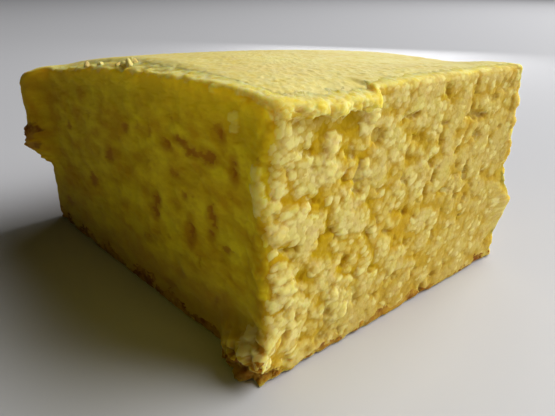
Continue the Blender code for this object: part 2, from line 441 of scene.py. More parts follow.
# %% Placed holes
FRONT_HOLES = np.array((
    (6.8, 40.6, 1.9, 1.5, 1.3), (12.6, 42.4, 0.8, 1.3, 1.1), (13.8, 38.3, 1.1, 0.8, 1.1),
    (24.4, 40.2, 2.8, 2.3, 1.5), (17.4, 38.0, 1.9, 1.5, 1.1), (16.6, 34.2, 1.5, 1.5, 1.2),
    (20.8, 32.8, 1.3, 0.7, 1.0), (19.5, 30.8, 2.4, 1.1, 1.2), (3.2, 38.2, 1.1, 1.1, 1.0),
    (8.8, 31.8, 1.8, 1.2, 1.3), (13.8, 25.4, 2.3, 1.5, 1.4), (0.8, 31.0, 1.9, 0.9, 1.2),
    (33.5, 29.8, 1.9, 1.2, 1.2), (34.0, 42.2, 2.6, 1.4, 1.4), (35.8, 37.8, 1.8, 1.5, 1.4),
    (57.2, 39.2, 5.0, 1.9, 1.9), (45.4, 39.4, 2.3, 1.2, 1.1), (44.6, 36.4, 1.4, 2.6, 1.0),
    (58.2, 34.8, 2.7, 1.5, 1.3), (50.4, 32.2, 1.5, 1.2, 1.1), (42.2, 31.8, 1.7, 1.7, 1.3),
    (55.8, 27.0, 1.6, 3.0, 1.4), (47.4, 24.2, 3.2, 1.2, 1.1), (56.8, 15.8, 3.0, 1.1, 1.4),
    (52.2, 14.4, 1.6, 0.7, 1.2), (32.8, 23.6, 1.5, 0.9, 1.1), (47.0, 44.0, 2.4, 0.9, 1.0),
    (56.0, 45.0, 1.2, 2.1, 1.0), (67.6, 44.4, 4.2, 1.8, 0.8), (4.0, 24.6, 2.4, 1.5, 1.9),
    (10.8, 24.6, 1.4, 1.5, 1.2), (18.1, 23.2, 0.9, 0.8, 1.2), (17.8, 18.0, 1.9, 2.1, 1.3),
    (6.2, 18.6, 2.2, 1.8, 0.9), (14.7, 13.9, 2.0, 0.8, 1.1), (8.7, 10.3, 0.8, 1.7, 1.3),
    (13.2, 8.2, 1.1, 2.4, 1.1), (23.4, 21.8, 2.0, 1.8, 1.2), (29.2, 20.2, 2.4, 1.4, 1.2),
    (25.2, 14.0, 1.3, 1.8, 1.1), (36.5, 15.8, 1.9, 0.8, 1.1), (43.4, 18.3, 1.6, 0.9, 1.0),
    (38.0, 20.9, 1.1, 0.8, 1.0), (48.0, 3.8, 2.1, 1.2, 1.1), (26.4, 29.8, 1.6, 0.8, 1.0),
    (12.5, 44.2, 9.0, 2.6, 0.9), (2.6, 25.4, 1.1, 0.9, 2.4),
    (12.0, 3.6, 1.8, 1.6, 1.0), (7.2, 5.6, 1.3, 1.0, 0.9), (17.6, 3.2, 1.4, 1.1, 0.9), (21.6, 8.2, 1.6, 1.6, 1.1),
    (27.2, 7.0, 2.0, 1.3, 1.0), (33.4, 9.2, 1.5, 1.5, 1.1), (20.2, 14.4, 1.5, 1.0, 1.0), (40.6, 8.0, 1.8, 1.0, 1.0)))
LEFT_HOLES = np.array((
    (-55.7, 27.9, 1.5, 1.4, 0.8), (-65.3, 19.5, 2.0, 1.6, 0.7), (-35.6, 23.4, 1.2, 1.1, 1.0),
    (-36.4, 20.6, 1.2, 1.2, 1.0), (-30.4, 36.2, 1.4, 0.9, 0.7), (-46.3, 36.0, 1.3, 0.8, 0.6),
    (-25.2, 38.0, 1.7, 0.8, 0.8), (-21.8, 36.8, 1.8, 0.9, 0.8), (-16.8, 36.8, 2.1, 1.0, 1.0),
    (-9.4, 36.6, 0.9, 1.8, 0.9), (-12.8, 41.8, 0.8, 1.1, 0.6), (-24.5, 27.6, 0.9, 0.8, 0.6),
    (-16.2, 26.2, 1.1, 2.0, 0.9), (-16.6, 22.8, 0.8, 1.1, 0.7), (-23.2, 21.0, 1.0, 2.3, 0.9),
    (-28.2, 31.0, 1.9, 0.8, 0.5), (-12.2, 21.2, 2.1, 0.7, 0.5), (-40.9, 12.8, 1.3, 0.7, 0.8),
    (-32.7, 5.1, 2.6, 1.3, 0.6), (-15.9, 8.5, 1.1, 1.4, 0.5), (-75.0, 30.5, 1.4, 1.1, 0.6),
    (-84.0, 8.0, 1.8, 1.2, 0.8)))

# %% [markdown]
# A clump that lost its neighbours stands out as a pale flake: at the near edge, at the foot, under the lip and
# as a fringe of the top crust. It is paler the more it rises, which is partly its own tone and partly painted
# light. A few lumps also break the straight line of the right edge. The rows hold the same five numbers.

# %% Placed flakes and lumps
PALE_FLAKES = np.array((
    (-2.9, 37.6, 1.0, 1.2, 0.8), (-2.4, 35.2, 1.1, 1.7, 1.0), (-1.6, 33.4, 1.2, 1.7, 1.0),
    (0.6, 32.2, 1.5, 1.0, 0.8), (-10.0, 44.6, 0.9, 1.6, 0.6), (2.4, 21.8, 0.7, 1.2, 0.5),
    (3.3, 19.8, 1.3, 1.0, 0.7), (4.4, 17.0, 1.8, 0.9, 0.9), (3.0, 15.8, 1.0, 0.9, 0.7),
    (4.2, 13.0, 0.8, 1.8, 0.7), (2.6, 12.0, 0.6, 0.9, 0.6), (15.6, 11.0, 2.4, 1.6, 0.9),
    (16.4, 8.2, 1.9, 2.0, 0.9), (1.6, 28.0, 2.2, 1.2, 0.7), (9.8, 18.4, 0.9, 1.0, 0.7),
    (13.0, 40.6, 0.8, 2.0, 0.8), (12.4, 37.0, 1.1, 1.6, 0.7), (21.4, 34.6, 0.8, 1.4, 0.7),
    (10.2, 36.0, 1.2, 1.4, 0.5), (22.6, 45.0, 0.8, 1.6, 0.9), (-4.0, 8.5, 1.1, 1.5, 0.8),
    (-2.8, 6.3, 1.3, 1.7, 1.0), (-0.8, 5.3, 1.5, 1.5, 1.0), (1.0, 4.2, 1.1, 1.1, 0.7), (-1.8, 9.6, 0.8, 1.3, 0.7),
    (9.4, 48.9, 1.2, 1.0, 0.4), (12.6, 48.4, 1.1, 1.3, 0.5), (14.6, 48.6, 0.5, 1.2, 0.5), (17.2, 49.0, 1.2, 0.7, 0.4),
    (19.4, 48.4, 0.9, 1.2, 0.5), (21.2, 46.6, 0.7, 1.6, 0.5), (22.6, 47.2, 0.8, 0.9, 0.6),
    (-15.0, 49.0, 1.6, 0.45, 0.4), (-6.9, 48.5, 0.8, 0.4, 0.4), (-3.3, 47.6, 0.4, 0.8, 0.4)))
SIDE_LUMPS = np.array((
    (73.6, 40.0, 2.0, 1.4, 1.0), (73.6, 35.2, 2.0, 1.3, 0.9), (73.4, 28.6, 2.4, 2.4, 1.3),
    (72.5, 15.5, 3.4, 4.0, 1.2), (73.8, 4.2, 2.0, 1.8, 1.0)))


# %% [markdown]
# Between the placed holes there are many small ones, as yeastless batter leaves them. Their places come from a
# random draw with a fixed seed, so they are the same each time.

# %% Holes of both prisms
def placed(rows, along, up, power):
    """The greatest of the rows at each place, where a row is size * (1 - r^2)^power inside its ellipse."""
    r2 = ((along[:, None] - rows[:, 0]) / rows[:, 2]) ** 2 + ((up[:, None] - rows[:, 1]) / rows[:, 3]) ** 2
    return (rows[:, 4] * np.clip(1.0 - r2, 0.0, None) ** power).max(axis=1)


def random_holes(seed, low, high, per_cm2, typical):
    """Holes at random places between two distances, with radii from a log-normal draw."""
    draw = np.random.default_rng(seed)
    count = round((high - low) * PEAK_HEIGHT / 100.0 * per_cm2)
    radius = np.clip(typical * np.exp(draw.normal(0.0, 0.4, count)), 0.3, 1.9)
    return np.stack([draw.uniform(low, high, count), draw.uniform(0.8, 47.0, count), radius,
                     radius * draw.uniform(0.9, 1.7, count), radius * draw.uniform(0.5, 0.9, count)], axis=1)


holes_of = {
    NEAR: np.concatenate([random_holes(8, 0.0, WIDTH, 4.2, 0.75), random_holes(9, -LENGTH, 0.0, 1.6, 0.6),
                          FRONT_HOLES, LEFT_HOLES * (1, 1, 1.35, 1.35, 1)]),
    FAR: np.concatenate([random_holes(10, -LENGTH, 0.0, 4.0, 1.1), random_holes(11, 0.0, WIDTH, 1.0, 0.8)])}
print("holes on the near and far prism:", len(holes_of[NEAR]), len(holes_of[FAR]))

# %% [markdown]
# Where crumb tears, it leaves nearly flat plates at a few depths, with ragged outlines of whole granules. The
# plates come from noise cut by three steep steps, and small granules sit on them. The crumb packed a little as
# it baked, so all of it is a little wider than tall. Each pair of values is for the near and the far prism.

# %% Levels of the granules
GRANULE, GRANULE_SHAPE = (0.66, 1.20), (0.08, 0.12)
SQUEEZE = (0.85, 1.08)
CREAM_SHARE = (0.5, 0.3)
PLATE_STEPS = ((-0.22, 0.44), (-0.02, 0.34), (0.20, 0.22))


def granule_levels(side):
    """The level function of the granules: the plate under each, chance, minus holes, plus flakes.

    A plate's level is the sum of the steps whose noise value is passed, plus a slight slope. The granules carry
    the painted shade of the place, how pale it is (on flakes partly painted light), the hole's depth, their
    chance, their level and the flake's rise.
    """
    def level_of(along, up, own):
        along, up = along / SQUEEZE[0], up / SQUEEZE[1]
        places = np.stack([0.9 * along, 1.05 * up, np.full_like(along, 50.0 * side)], axis=1)
        noise = layered_noise(places + 0.8 * push(places, 2.6, 301), 2.9, 51, 3)
        noise += 0.26 * soft_noise(places, 1.3, 57)
        plate = sum(step * ramp(noise, value, value + 0.05) for value, step in PLATE_STEPS) + 0.25 * noise
        hole = placed(holes_of[side], along, up, 0.4)
        flake = placed(PALE_FLAKES, along, up, 0.2) if side == NEAR else np.zeros_like(along)
        lump = placed(SIDE_LUMPS, along, up, 0.5) if side == NEAR else np.zeros_like(along)
        on_flake = flake > 0.1
        missing = (own < 0.10) & ~on_flake
        level = plate + (0.34 + 0.5 * on_flake) * (own - 0.5) - 0.30 * missing - hole * ~on_flake
        level += 0.8 * flake + lump
        # Painted shade: the colour turns amber the lower the plate, in holes and where a granule is missing.
        hollow_shade = 0.92 - 0.88 * plate + 0.6 * ramp(hole, 0.1, 1.0) + 0.25 * missing - 0.42 * (own - 0.5)
        by_edge = hump(along, 1.5, 7.0)
        cream = ramp(own, 0.93 - 0.4 * by_edge, 0.97 - 0.2 * by_edge) * (plate > 0.3)
        cream *= CREAM_SHARE[side] * ((along > 0) == (side == NEAR))
        # Flakes get paler the more they rise: partly their own tone, partly painted light on what stands out.
        pale = np.where(on_flake & (own > 0.2), 0.65 * own * ramp(flake, 0.2, 0.9), cream)
        return level, np.clip(hollow_shade, 0.0, 1.0) * ~on_flake, pale, hole, own, level, flake
    return level_of


# %% [markdown]
# The front and right sides are torn crumb and rough. The left side was cut with a clean stroke of the knife, so
# it is calmer, but it crumbled at its near edge and foot. The right edge broke jagged.

# %% Roughness of the crumb
def roughness_of(points, outward):
    """Share of the full roughness: less on the clean cut left face, more at the foot and the right edge."""
    x, y, z = points.T
    foot = (1.0 - ramp(y, 6.0, 16.0)) * (1.0 - ramp(z, 8.0, 14.0))
    near_edge = 1.0 - ramp(y, 3.0, 9.0)
    crumbly = (1.0 - ramp(x, 0.0, 7.0)) * (1.0 - ramp(y, 4.0, 12.0)) * (1.0 - ramp(z, 6.0, 13.0))
    jagged = ramp(x, WIDTH - 4.0, WIDTH - 1.0) * (1.0 - ramp(y, 2.0, 6.0))
    rough = 0.34 - 0.12 * ramp(x, 12.0, 50.0) * ramp(-outward[:, 1], 0.35, 0.75)
    rough += 0.35 * crumbly + 0.30 * jagged
    return rough - 0.08 * ramp(-outward[:, 0], 0.35, 0.75) * (1.0 - np.maximum(foot, near_edge))


print("roughness in the middle of the left face:",
      roughness_of(np.array([[0.0, 47.0, 25.0]]), np.array([[-1.0, 0.0, 0.0]])).round(2))

# %% [markdown]
# Three tones depend on the place. The base line and the torn flap are browned. The cut face is rusty, with
# painted shade in and round its holes. The crumb is tanned low down, where the hot pan dried it, and towards the
# right. They could be painted as masks, but as functions they follow the shape when a size changes.

# %% Tones by place
def browned(points, own, on_left, ragged, edge):
    """1 below a ragged line that is highest at the foot and steps by whole granules, and 1 on the torn flap."""
    x, y, z = points.T
    foot = (1.0 - ramp(x, 0.0, 7.0)) * (1.0 - ramp(y, 4.0, 12.0))
    line = 0.4 + 2.4 * ragged + 1.6 * foot + 1.2 * on_left + (2.4 + 3.0 * foot) * (own - 0.5)
    flap = (1.0 - ramp(x, 2.0, 5.0)) * ramp(y + 3.0 * edge, LENGTH - 4.5, LENGTH - 3.0) * hump(z, 25.0, 7.0)
    return np.maximum(1.0 - ramp(z, line, line + 0.8), flap)


def rusted_and_shaded(points, hole, shade_halo, ragged, edge):
    """The greater of painted shade in and round the holes, and soft reddish clouds low down and towards the pan side.
    """
    round_holes = 0.45 * ramp(hole, 0.15, 0.5) + 0.55 * ramp(shade_halo + 0.2 * edge, 0.05, 0.75)
    clouds = np.maximum(ramp(points[:, 1], 30.0, 90.0), 1.0 - ramp(points[:, 2], 4.0, 18.0))
    return np.maximum(round_holes, (0.36 + 0.3 * ragged) * clouds)


def tanned(points, ragged, on_left):
    """The greater of a tone low down, weaker by the near edge, and a tone that grows to the right."""
    x = points[:, 0]
    low = (1.0 - ramp(points[:, 2] + 1.5 * ragged, 2.0, 18.0)) * (0.5 + 0.5 * np.maximum(ramp(x, 5.0, 25.0), on_left))
    return np.maximum(low, 0.8 * ramp(x, 8.0, 72.0) * (1.0 - on_left))


print("tan at the right end of the front:", tanned(np.array([[72.0, 0.0, 30.0]]), np.zeros(1), np.zeros(1)).round(2))

# %% [markdown]
# Now the wall itself. The granules move it in and out. On the pan side it is baked skin, with patches where the
# skin peeled, and over the top edge it calms down and dips under the top crust. Displace modifiers could do one
# of these at a time. Here they meet in one sum, and the same numbers colour the crumb.

# %% A wall of crumb
LOWEST = 0.12  # the crumb stands this far above the floor, on its crust


def wall_of(side):
    """All points of one prism's two faces, with the values that its material needs.

    Each point = block point + outward * relief. The relief is strength * (granules - 0.8 + slow waves), plus the
    flakes and the skin, minus the deeper holes of the front. On the top it turns into the light unevenness.
    Raised crumb then sags a little.
    """
    columns = columns_of[side]
    shape = (len(row_share), len(columns))
    shares = shares_at(side, columns)
    points, outward = block_surface(shares)
    x, y, z = points.T
    height = top_height(shares[:, 0] * WIDTH, shares[:, 1] * LENGTH)
    up = shares[:, 2] * height + np.repeat(row_inset, len(columns))
    along = np.tile(columns, len(row_share))
    bend = 0.14 * push(points, 0.7, 331) + 0.40 * push(points, 2.6, 341)
    level, (hollow_shade, pale, hole, own, flat, flake) = granules(
        (along + bend[:, 0]) * SQUEEZE[0], (up + bend[:, 1]) * SQUEEZE[1], GRANULE[side], 3 + side, GRANULE_SHAPE,
        granule_levels(side))
    # Painted shade in the creases between granules, added to the painted shade of the hollows.
    crease_shade = ramp(flat + 0.02 - level, 0.0, 0.16)
    hollow_shade = 1.0 - (1.0 - np.clip(hollow_shade + 0.38 * crease_shade, 0.0, 1.0)) ** 1.35
    on_left = ramp(-outward[:, 0], 0.35, 0.75)
    on_pan = ramp(outward[:, 1], 0.35, 0.75)
    patches = layered_noise(points + 40.0, 13.0, 5, 3)
    skin = ramp(on_pan + 0.25 * layered_noise(points, 5.0, 71, 3), 0.45, 0.75) * (1 - ramp(patches, 0.30, 0.40))
    over_top = ramp(up - height, -0.6, 1.2)
    near_floor = 1.0 - ramp(z, 0.0, 1.5)
    strength = roughness_of(points, outward) * (1.0 - 0.75 * skin) * (1.0 - 0.55 * over_top)
    lip = plateau(x, 1.0, 22.5, 1.5) * (1.0 - ramp(y, 0.5, 5.0))
    strength *= 1.0 + 1.3 * lip * ramp(up - height, -3.5, -1.5) * (1.0 - over_top)
    slow = 0.5 * layered_noise(points, 11.0, 77, 2)
    relief = strength * (level - 0.8 + slow) + 0.45 * (1.0 - strength) * flake + 0.25 * skin
    relief -= (0.66 - strength) * hole * (1.0 - on_left)
    meal = over_top > 0.01
    under_sheet = 0.35 * ramp(up[meal] - height[meal], 3.2, 6.0)
    relief[meal] += over_top[meal] * (0.15 - under_sheet + coarseness(points[meal]) * uneven(points[meal])
                                      - 0.7 * relief[meal])
    wall = points + outward * relief[:, None]
    wall[:, 2] -= 0.18 * (1.0 - hollow_shade) * strength * (1.0 - near_floor) * (1.0 - over_top)
    wall = torn(wall)
    wall[:, 2] = np.maximum(wall[:, 2], LOWEST)

    ragged = layered_noise(points, 4.0, 21, 3)
    edge = 0.5 * ragged + 0.9 * layered_noise(points, 1.5, 27, 2)
    # Painted shade round the holes of the cut face.
    shade_halo = placed(LEFT_HOLES * (1, 1, 2.3, 2.3, 1), along, up, 1.0) if side == NEAR else np.zeros(len(along))
    crust_line = up - height + 1.2 * edge + 2.2 * lip + 0.2 * on_left
    # Among these values, painted shade darkens the hollows and creases and partly the cut left face.
    values = {"hollow_shade": hollow_shade * (1.0 - over_top), "pale": pale, "skin": skin, "grain": own,
              "toast": browned(points, own, on_left, ragged, edge),
              "cut_and_shade": on_left * (1.0 - over_top),
              # Reddish clouds, with painted shade in and round the holes.
              "rust_and_hole_shade": on_left * rusted_and_shaded(points, hole, shade_halo, ragged, edge),
              "crust": ramp(crust_line, 0.0, 0.5) * (1.0 - 0.5 * hollow_shade),
              # Painted light: the top band of the cut left face is made brighter.
              "painted_top_light": (1.0 - ramp(height - up, 0.0, 9.0)) * on_left,
              "low": tanned(points, ragged, on_left)}
    return wall.reshape(*shape, 3), values


# %% [markdown]
# A prism needs an inside too, or its mesh would be an open shell. A few hidden columns carry on round its two
# ends, a little under the surface of the other prism, and coarse rings close it below and above.

# %% The two prisms
HIDDEN = np.array([0.5, 1.4, 2.8])  # how far the hidden columns lie past the end of a prism, and inside


def lead_in(side, start):
    """Hidden columns that carry on round the end of a prism, a little under the surface of the other one."""
    other = FAR if side == NEAR else NEAR
    ends = -LENGTH + HIDDEN if start else WIDTH - HIDDEN[::-1]
    points, outward = block_surface(shares_at(other, ends))
    sink = np.tile(HIDDEN if start else HIDDEN[::-1], len(row_share)) + 0.7
    points = torn(points - outward * sink[:, None])
    points[:, 2] = np.maximum(points[:, 2], LOWEST)
    return points.reshape(len(row_share), len(HIDDEN), 3)


def crumb_prism(name, side):
    """One prism: its wall, the hidden columns that close it, coarse rings under the crusts, and its values."""
    wall, values = wall_of(side)
    after, before = lead_in(side, True), lead_in(side, False)
    bridge = np.stack([after[:, -1] + t * (before[:, 0] - after[:, -1]) for t in (0.25, 0.5, 0.75)], axis=1)
    rings = np.concatenate([wall, after, bridge, before], axis=1)
    caps = [rings[row].mean(axis=0) + (rings[row] - rings[row].mean(axis=0)) * share + [0.0, 0.0, drop]
            for row, share, drop in ((0, 0.35, 0), (0, 0.7, 0), (0, 0.98, 0),
                                     (-1, 0.97, -1.2), (-1, 0.7, -2.0), (-1, 0.35, -2.0))]
    rings = np.concatenate([np.stack(caps[:3]), rings, np.stack(caps[3:])])
    columns = columns_of[side]
    hidden = rings.shape[1] - len(columns)
    strips = np.array([(0.0, 0.48), (0.48, 0.96), (0.96, 1.0)])
    strip = np.concatenate([(columns >= 0.0).astype(int), np.full(hidden, 2)])
    place = np.concatenate([(columns[columns < 0.0] + LENGTH) / LENGTH, columns[columns >= 0.0] / WIDTH,
                            np.linspace(0.0, 0.9, hidden)])
    piece = stack_rings(name, rings, rings[0].mean(axis=0), rings[-1].mean(axis=0), strips, strip,
                        0.005 + 0.985 * place)
    for key, value in values.items():
        full = np.zeros(rings.shape[:2])
        full[3:-3, :len(columns)] = value.reshape(len(row_share), -1)
        full[:3], full[-3:] = full[3], full[-4]
        store(piece, key, np.append(full.ravel(), [0.0, 0.0]))
    return piece, values


crumb_near, near_values = crumb_prism("crumb_near", NEAR)
crumb_far, far_values = crumb_prism("crumb_far", FAR)
print("mean hollow:", near_values["hollow_shade"].mean().round(2), " skin:", far_values["skin"].mean().round(2))

# %% [markdown]
# ## Top crust
# The top is a thin, pale sheet with a grain like coarse meal. It could be painted on the crumb, but its ragged
# rim hangs over the cut faces and throws a shadow there, so it is a closed sheet of its own. Its rings start
# under the sheet, come out round the rim, and close in over the top.

# %% Rings of the top crust
SIDES = (WIDTH, LENGTH, WIDTH, LENGTH)
SIDE_STARTS = np.concatenate([[0.0], np.cumsum(SIDES)])
SIDE_STRIPS = np.array([(0.0, 0.25), (0.25, 0.5), (0.5, 0.75), (0.75, 1.0)])


def round_columns(spacings):
    """Places round the block: distance in mm, share of x, share of y, and the side each column starts on."""
    along, x, y, side = [], [], [], []
    corners = np.array([(0, 0), (1, 0), (1, 1), (0, 1), (0, 0)], float)
    for k, (length, spacing) in enumerate(zip(SIDES, spacings)):
        t = np.arange(round(length / spacing)) / round(length / spacing)
        along.append(SIDE_STARTS[k] + t * length)
        place = corners[k] + t[:, None] * (corners[k + 1] - corners[k])
        x.append(place[:, 0])
        y.append(place[:, 1])
        side.append(np.full(len(t), k))
    return tuple(np.concatenate(part) for part in (along, x, y, side))


def place_on_side(along, side):
    """Where a column lies along its side, as a place on the map."""
    return 0.005 + 0.985 * (along - SIDE_STARTS[side]) / np.array(SIDES)[side]


top_along, top_x, top_y, top_side = round_columns((0.36, 0.60, 0.62, 0.42))
top_columns = len(top_along)


def ring_at(share, drop):
    """Points and outward directions of a ring: drawn in by a share on top, or this many mm down the side."""
    height = top_height(top_x * WIDTH, top_y * LENGTH)
    shares = np.stack([0.5 + (top_x - 0.5) * share, 0.5 + (top_y - 0.5) * share,
                       np.broadcast_to(1.0 - drop / height, top_columns)], axis=1)
    return block_surface(shares)


edge_points, edge_outward = ring_at(1.0, 0.0)
on_left = ramp(-edge_outward[:, 0], 0.2, 0.5)
rim_inset = 0.9 + 0.9 * layered_noise(edge_points, 1.8, 61, 3) + 0.5 * on_left
print("inset of the crust from", round(float(rim_inset.min()), 1), "to", round(float(rim_inset.max()), 1), "mm")

# %% [markdown]
# The rim of the sheet starts sunk in the crumb and comes up through it, so its outline is as ragged as the
# noise of the rim. The sheet lies lower along the left edge, where the margin is worn down to the crumb.

# %% The top crust piece
SHEET, SINK = 1.5, 0.72
rise = 0.05 + 0.04 * on_left
ROWS_OVER = 112
over_shares = np.linspace(0.0, 1.0, ROWS_OVER + 1)[:-1] ** 1.10

hidden_rings = [ring_at(share, 0.0)[0] - [0.0, 0.0, 2.0 * SHEET] for share in (0.25, 0.6, 0.9)]
rim_share = 1.0 - 2.0 * rim_inset / WIDTH
points, outward = ring_at(rim_share, 0.0)
hidden_rings += [points - outward * 2.0 - edge_outward * 0.8, points - outward * 1.2]
outer_rings, outer_ways = [], []
for t in over_shares:
    points, outward = ring_at(rim_share * (1.0 - t), 0.0)
    lift = 0.12 + 0.12 * ramp(points[:, 0], 4.0, 30.0)
    outer_rings.append(points + outward * (lift - SINK * (1.0 - ramp(t, 0.0, rise)))[:, None])
    outer_ways.append(outward)
outer_rings, outer_ways = np.stack(outer_rings), np.stack(outer_ways)
flat_points = outer_rings.reshape(-1, 3)
outer_rings += outer_ways * (coarseness(flat_points) * uneven(flat_points)).reshape(len(outer_rings), -1, 1)

top_rings = np.concatenate([np.stack(hidden_rings), outer_rings])
top_rings = torn(top_rings.reshape(-1, 3)).reshape(top_rings.shape)
top_crust = stack_rings("top_crust", top_rings, top_rings[0].mean(axis=0), top_rings[-1].mean(axis=0),
                        SIDE_STRIPS, top_side, place_on_side(top_along, top_side))


def on_top_crust(values):
    """Values of the outer rings, with zeros for the hidden rings and the poles."""
    hidden = np.zeros((len(hidden_rings), top_columns))
    return np.concatenate([hidden.ravel(), np.asarray(values).ravel(), [0.0, 0.0]])


store(top_crust, "grain", on_top_crust(grains(flat_points, 1.0, 96)[1]))
store(top_crust, "skin", on_top_crust(ramp(outer_rings[..., 1], LENGTH - 12.0, LENGTH + 6.0)))

# %% [markdown]
# ## Bottom crust
# The base browned against the hot pan. It is under a millimetre thick, and the knife left it ragged, so it
# shows as a broken brown line under the crumb. It is a closed sheet like the top crust, the other way up.

# %% The bottom crust piece
BASE_SHEET, BASE_RINGS = 0.7, 60
base_along, base_x, base_y, base_side = round_columns((0.45, 0.7, 0.7, 0.5))
base_columns = len(base_along)
base_edge = np.stack([base_x * WIDTH, base_y * LENGTH, np.zeros(base_columns)], axis=1)
base_outward = np.stack([ramp(base_x, 0.97, 1.0) - ramp(-base_x, -0.03, 0.0),
                         ramp(base_y, 0.97, 1.0) - ramp(-base_y, -0.03, 0.0), np.zeros(base_columns)], axis=1)
torn_away = 1.0 - ramp(np.hypot(base_edge[:, 0], base_edge[:, 1]), 5.0, 14.0)
base_stand = -0.75 + 0.85 * layered_noise(base_edge, 3.0, 33, 4) - 2.0 * torn_away


def base_ring(share, height, stand):
    """A ring on the base, drawn in by the share, or standing out past the wall by stand mm."""
    middle = np.array([WIDTH / 2, LENGTH / 2, 0.0])
    ring = middle + (base_edge - middle) * share + base_outward * np.reshape(stand, (-1, 1))
    ring[:, 2] = height
    return ring


base_rings = [base_ring(share, 0.0, 0.0) for share in np.linspace(0.02, 0.965, BASE_RINGS)]
base_rings += [base_ring(1.0, 0.02, base_stand - 0.40), base_ring(1.0, 0.15, base_stand - 0.1),
               base_ring(1.0, 0.35, base_stand), base_ring(1.0, 0.55, base_stand - 0.05),
               base_ring(1.0, BASE_SHEET, base_stand - 0.3)]
base_rings += [base_ring(share, BASE_SHEET + 0.05, 0.0) for share in (0.94, 0.85, 0.5)]
base_all = np.stack(base_rings)
dents = 0.25 * np.clip(layered_noise(base_all.reshape(-1, 3), 3.0, 37, 3) + 0.1, 0.0, 1.0)
base_all[:BASE_RINGS, :, 2] += dents.reshape(base_all.shape[:2])[:BASE_RINGS]
base_all = torn(base_all.reshape(-1, 3)).reshape(base_all.shape)
bottom_crust = stack_rings("bottom_crust", base_all, base_all[0].mean(axis=0), base_all[-1].mean(axis=0),
                           SIDE_STRIPS, base_side, place_on_side(base_along, base_side))

# %% [markdown]
# ## Clinging crumbs
# A few crumbs stuck to the left top edge when the knife came out. Each is a ball cut by chance planes, so it is
# angular like a broken crumb. All are joined in one mesh, because one mesh is far quicker to draw and to store
# than many objects.

# %% A ball cut by planes
def ball(level):
    """A ball of 20 * 4^level faces: the corners (0, +-1, +-g) and their turns, split and pushed to radius 1."""
    g = (1 + 5**0.5) / 2
    corners = [(-1, g, 0), (1, g, 0), (-1, -g, 0), (1, -g, 0), (0, -1, g), (0, 1, g),
               (0, -1, -g), (0, 1, -g), (g, 0, -1), (g, 0, 1), (-g, 0, -1), (-g, 0, 1)]
    faces = [(0, 11, 5), (0, 5, 1), (0, 1, 7), (0, 7, 10), (0, 10, 11), (1, 5, 9), (5, 11, 4),
             (11, 10, 2), (10, 7, 6), (7, 1, 8), (3, 9, 4), (3, 4, 2), (3, 2, 6), (3, 6, 8),
             (3, 8, 9), (4, 9, 5), (2, 4, 11), (6, 2, 10), (8, 6, 7), (9, 8, 1)]
    corners = [np.array(c, float) / np.hypot(1, g) for c in corners]
    for _ in range(level):
        known, split = {}, []
        for face in faces:
            middles = []
            for a, b in zip(face, face[1:] + face[:1]):
                key = (min(a, b), max(a, b))
                if key not in known:
                    middle = corners[a] + corners[b]
                    known[key] = len(corners)
                    corners.append(middle / np.linalg.norm(middle))
                middles.append(known[key])
            (a, b, c), (ab, bc, ca) = face, middles
            split += [(a, ab, ca), (ab, b, bc), (ca, bc, c), (ab, bc, ca)]
        faces = split
    return np.array(corners), np.array(faces)


def scattered(name, level, centres, sizes, seed):
    """One mesh of cut balls: along each direction the radius is the least of offset / cosine over the planes."""
    draw = np.random.default_rng(seed)
    corners, faces = ball(level)
    count = len(centres)
    planes = draw.normal(size=(count, 9, 3))
    planes /= np.linalg.norm(planes, axis=2, keepdims=True)
    offsets = draw.uniform(0.42, 0.90, (count, 9, 1))
    cosines = np.einsum("npk,vk->npv", planes, corners)
    radius = np.clip((offsets / np.maximum(cosines, 0.05)).min(axis=1), 0.4, 1.25)
    points = corners[None] * radius[..., None] * draw.uniform(0.65, 1.2, (count, 1, 3))
    points = centres[:, None] + sizes[:, None, None] * points
    joined = (faces[None] + len(corners) * np.arange(count)[:, None, None]).reshape(-1, 3)
    piece = new_mesh(name, in_frame(points.reshape(-1, 3)), (joined,))
    store(piece, "grain", np.repeat(draw.random(count), len(corners)))
    return piece


# %% [markdown]
# They lie in small clusters towards the pan side, half sunk in the crust. Each row is the centre and the radius
# in mm.

# %% Places for the crumbs
STUCK_CRUMBS = np.array((
    (2.2, 46.6, 48.7, 0.9), (2.8, 47.9, 49.1, 0.9), (2.0, 49.0, 48.4, 0.7), (3.4, 47.0, 48.9, 0.7),
    (3.4, 48.9, 48.9, 0.6), (2.5, 52.4, 48.0, 0.6), (2.0, 59.6, 46.9, 0.7), (2.6, 60.8, 47.0, 0.7),
    (1.8, 66.4, 45.8, 0.6), (2.4, 67.6, 45.9, 0.8), (2.8, 69.2, 45.6, 0.7)))
clinging = scattered("clinging_crumbs", 2, STUCK_CRUMBS[:, :3], STUCK_CRUMBS[:, 3], 41)

# %% [markdown]
# ## Colours and finishes
# Three effects are shared by the finishes, so each is a node group: patches of two colours, browning with a
# ragged border, and the fine bumps of cornmeal. A few helpers keep the node code short: each makes one node,
# fills its inputs with numbers or links, and hands back an output.

# %% Node helpers
def new_group(name, inputs, outputs):
    """An empty shader group with named sockets: each input is (name, kind, value), each output (name, kind)."""
    group = bpy.data.node_groups.new(name, "ShaderNodeTree")
    for label, kind, value in inputs:
        socket = group.interface.new_socket(name=label, in_out="INPUT", socket_type="NodeSocket" + kind)
        if value is not None:
            socket.default_value = value
    for label, kind in outputs:
        group.interface.new_socket(name=label, in_out="OUTPUT", socket_type="NodeSocket" + kind)
    return group, group.nodes.new("NodeGroupInput"), group.nodes.new("NodeGroupOutput")


def fill_inputs(tree, made, values):
    """Sets or links inputs: a key like i0 is a number, any other key is a name with _ for a space."""
    for key, value in values.items():
        numbered = key[0] == "i" and key[1:].isdigit()
        target = made.inputs[int(key[1:]) if numbered else key.replace("_", " ")]
        if isinstance(value, bpy.types.NodeSocket):
            tree.links.new(value, target)
        else:
            target.default_value = value
    return made


